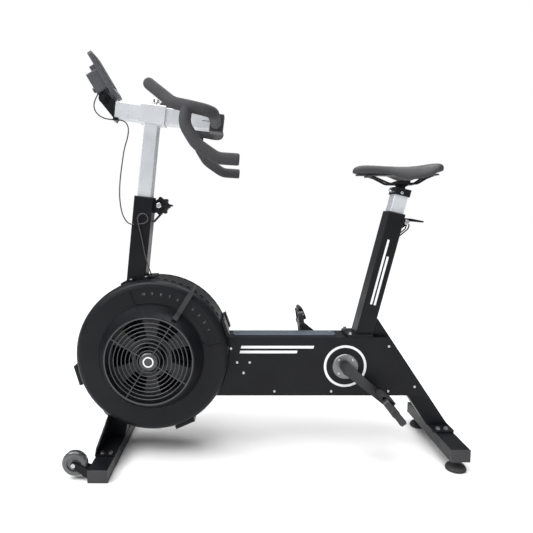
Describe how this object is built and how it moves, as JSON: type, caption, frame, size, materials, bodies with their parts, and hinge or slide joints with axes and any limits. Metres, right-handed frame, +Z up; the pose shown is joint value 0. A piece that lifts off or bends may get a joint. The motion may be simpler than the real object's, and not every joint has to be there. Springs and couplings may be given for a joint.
{
  "type": "air bike",
  "caption": "Fan-braked exercise bike: long low steel body, fan drum at the front with a side damper dial, sliding seat and handlebar posts, curved foam handlebar, crank drive and console",
  "frame": {"origin": "centre of the bounding box's footprint, at floor level", "axes": "+X from the fan towards the seat, +Z up, -Y is the rider's left side (the side with the damper dial)"},
  "size_m": [1.2306, 0.49, 1.2884],
  "materials": {
    "black_paint": "satin black powder coat",
    "grey_paint": "smooth blue-grey paint",
    "silver_paint": "silver-grey metallic paint",
    "shell_plastic": "fine textured black moulding",
    "black_plastic": "moulded, lightly textured",
    "dial_plastic": "smooth moulded lever and disc",
    "case_plastic": "fine-grained console case",
    "screen": "dark glossy window",
    "button_grey": "silicone push button",
    "steel": "machined steel",
    "bright_steel": "polished plating",
    "crank_alloy": "black cast crank arm",
    "wire": "coated wire",
    "foam": "closed-cell foam sleeve",
    "belt": "ribbed drive belt",
    "lead": "dark cable jacket",
    "saddle_cover": "matt synthetic saddle cover",
    "wheel_pu": "smoke-tinted polyurethane tyre",
    "foot_rubber": "rubber levelling pad",
    "cap_plastic": "moulded end cap"
  },
  "bodies": {
    "frame": {"fan_hoop": "black_paint", "body_frame": "black_paint", "rear_leg": "black_paint", "front_leg": "black_paint", "left_side_panel": "black_paint", "right_side_panel": "black_paint", "top_cover": "grey_paint", "front_stabilizer": "black_paint", "rear_stabilizer": "black_paint", "stabilizer_caps": "cap_plastic", "seat_tube": "black_paint", "post_tube": "black_paint", "tube_guides": "black_plastic", "left_fan_shell": "shell_plastic", "right_fan_shell": "shell_plastic", "left_fan_grille": "wire", "right_fan_grille": "wire", "shell_clips": "black_paint", "fan_axle": "steel", "bearings": "steel", "frame_bolts": "steel", "drive_belt": "belt", "fan_belt": "belt", "lead_lower": "lead"},
    "damper": {"damper": "dial_plastic"},
    "fan": {"fan_wheel": "steel"},
    "jackshaft": {"jackshaft": "steel"},
    "crankset": {"crank_axle": "steel", "left_crank_arm": "crank_alloy", "right_crank_arm": "crank_alloy"},
    "left_pedal": {"left_pedal": "black_plastic", "left_toe_strap": "black_plastic"},
    "right_pedal": {"right_pedal": "black_plastic", "right_toe_strap": "black_plastic"},
    "bar_post": {"bar_post": "silver_paint", "lead_middle": "lead"},
    "stem": {"stem_tube": "silver_paint", "stem_end_plate": "black_plastic", "handlebar": "foam", "console_bracket": "black_paint", "lead_upper": "lead"},
    "console": {"console_housing": "case_plastic", "console_screen": "screen"},
    "left_button": {"left_button": "button_grey"},
    "middle_button": {"middle_button": "button_grey"},
    "right_button": {"right_button": "button_grey"},
    "seat_post": {"seat_post": "silver_paint", "seat_cap": "black_paint", "seat_cap_bolts": "bright_steel"},
    "saddle_clamp": {"saddle_clamp": "black_paint"},
    "saddle": {"saddle_rails": "black_paint", "saddle_shell": "black_plastic", "saddle_pad": "saddle_cover"},
    "seat_lever": {"seat_lever": "black_paint"},
    "post_lever": {"post_lever": "black_paint"},
    "post_knob": {"post_knob": "black_plastic"},
    "stem_knob": {"stem_knob": "bright_steel"},
    "left_wheel": {"left_wheel": "wheel_pu"},
    "right_wheel": {"right_wheel": "wheel_pu"},
    "left_foot": {"left_foot": "foot_rubber"},
    "right_foot": {"right_foot": "foot_rubber"}
  },
  "joints": [
    {"name": "fan_spin", "type": "hinge", "parent": "frame", "child": "fan", "pos_m": [-0.363, 0, 0.339], "axis": [0, -1, 0], "continuous": true},
    {"name": "crank_turn", "type": "hinge", "parent": "frame", "child": "crankset", "pos_m": [0.2583, 0, 0.293], "axis": [0, -1, 0], "continuous": true},
    {"name": "jackshaft_turn", "type": "hinge", "parent": "frame", "child": "jackshaft", "pos_m": [-0.073, 0, 0.2935], "axis": [0, -1, 0], "continuous": true},
    {"name": "left_pedal_turn", "type": "hinge", "parent": "crankset", "child": "left_pedal", "pos_m": [0.38105, -0.147, 0.19037], "axis": [0, -1, 0], "continuous": true},
    {"name": "right_pedal_turn", "type": "hinge", "parent": "crankset", "child": "right_pedal", "pos_m": [0.13555, 0.147, 0.39563], "axis": [0, -1, 0], "continuous": true},
    {"name": "damper_turn", "type": "hinge", "parent": "frame", "child": "damper", "pos_m": [-0.363, 0, 0.339], "axis": [0, -1, 0], "range_deg": [-40, 42]},
    {"name": "bar_height", "type": "slide", "parent": "frame", "child": "bar_post", "axis": [0.1132, 0, 0.9936], "range_m": [-0.09, 0.06], "deforming": ["lead_middle"]},
    {"name": "bar_reach", "type": "slide", "parent": "bar_post", "child": "stem", "axis": [0.9924, 0, -0.1227], "range_m": [-0.04, 0.04]},
    {"name": "console_tilt", "type": "hinge", "parent": "stem", "child": "console", "pos_m": [-0.511, 0, 1.1485], "axis": [0, 1, 0], "range_deg": [-15, 12], "deforming": ["lead_upper"]},
    {"name": "stem_knob_turn", "type": "hinge", "parent": "bar_post", "child": "stem_knob", "pos_m": [-0.35448, 0, 1.14366], "axis": [0.1227, 0, 0.9924], "range_deg": [0, 720]},
    {"name": "post_lever_turn", "type": "hinge", "parent": "frame", "child": "post_lever", "pos_m": [-0.34636, 0, 0.81398], "axis": [0, -1, 0], "range_deg": [0, 85]},
    {"name": "post_knob_turn", "type": "hinge", "parent": "frame", "child": "post_knob", "pos_m": [-0.34636, 0.044, 0.81398], "axis": [0, 1, 0], "range_deg": [0, 720]},
    {"name": "seat_height", "type": "slide", "parent": "frame", "child": "seat_post", "axis": [0.2357, 0, 0.9718], "range_m": [-0.054, 0.19]},
    {"name": "saddle_tilt", "type": "hinge", "parent": "seat_post", "child": "saddle_clamp", "pos_m": [0.43797, 0, 0.8732], "axis": [0, 1, 0], "range_deg": [-8, 8]},
    {"name": "saddle_fore_aft", "type": "slide", "parent": "saddle_clamp", "child": "saddle", "axis": [1, 0, 0], "range_m": [-0.015, 0.015]},
    {"name": "seat_lever_turn", "type": "hinge", "parent": "frame", "child": "seat_lever", "pos_m": [0.45283, 0, 0.76052], "axis": [0, -1, 0], "range_deg": [0, 75]},
    {"name": "left_wheel_turn", "type": "hinge", "parent": "frame", "child": "left_wheel", "pos_m": [-0.575, -0.215, 0.05], "axis": [0, 1, 0], "continuous": true},
    {"name": "right_wheel_turn", "type": "hinge", "parent": "frame", "child": "right_wheel", "pos_m": [-0.575, 0.215, 0.05], "axis": [0, 1, 0], "continuous": true},
    {"name": "left_foot_turn", "type": "hinge", "parent": "frame", "child": "left_foot", "pos_m": [0.584, -0.158, 0.02], "axis": [0, 0, 1], "range_deg": [-720, 720]},
    {"name": "right_foot_turn", "type": "hinge", "parent": "frame", "child": "right_foot", "pos_m": [0.584, 0.158, 0.02], "axis": [0, 0, 1], "range_deg": [-720, 720]},
    {"name": "left_button_press", "type": "slide", "parent": "console", "child": "left_button", "axis": [-0.8634, 0, -0.5045], "range_m": [0, 0.0015], "stiffness_N_per_m": 600, "springref_m": -0.0008},
    {"name": "middle_button_press", "type": "slide", "parent": "console", "child": "middle_button", "axis": [-0.8634, 0, -0.5045], "range_m": [0, 0.0015], "stiffness_N_per_m": 600, "springref_m": -0.0008},
    {"name": "right_button_press", "type": "slide", "parent": "console", "child": "right_button", "axis": [-0.8634, 0, -0.5045], "range_m": [0, 0.0015], "stiffness_N_per_m": 600, "springref_m": -0.0008}
  ],
  "couplings": [
    {"joint": "crank_turn", "follows": "fan_spin", "ratio": 0.095537},
    {"joint": "jackshaft_turn", "follows": "fan_spin", "ratio": 0.30909}
  ]
}
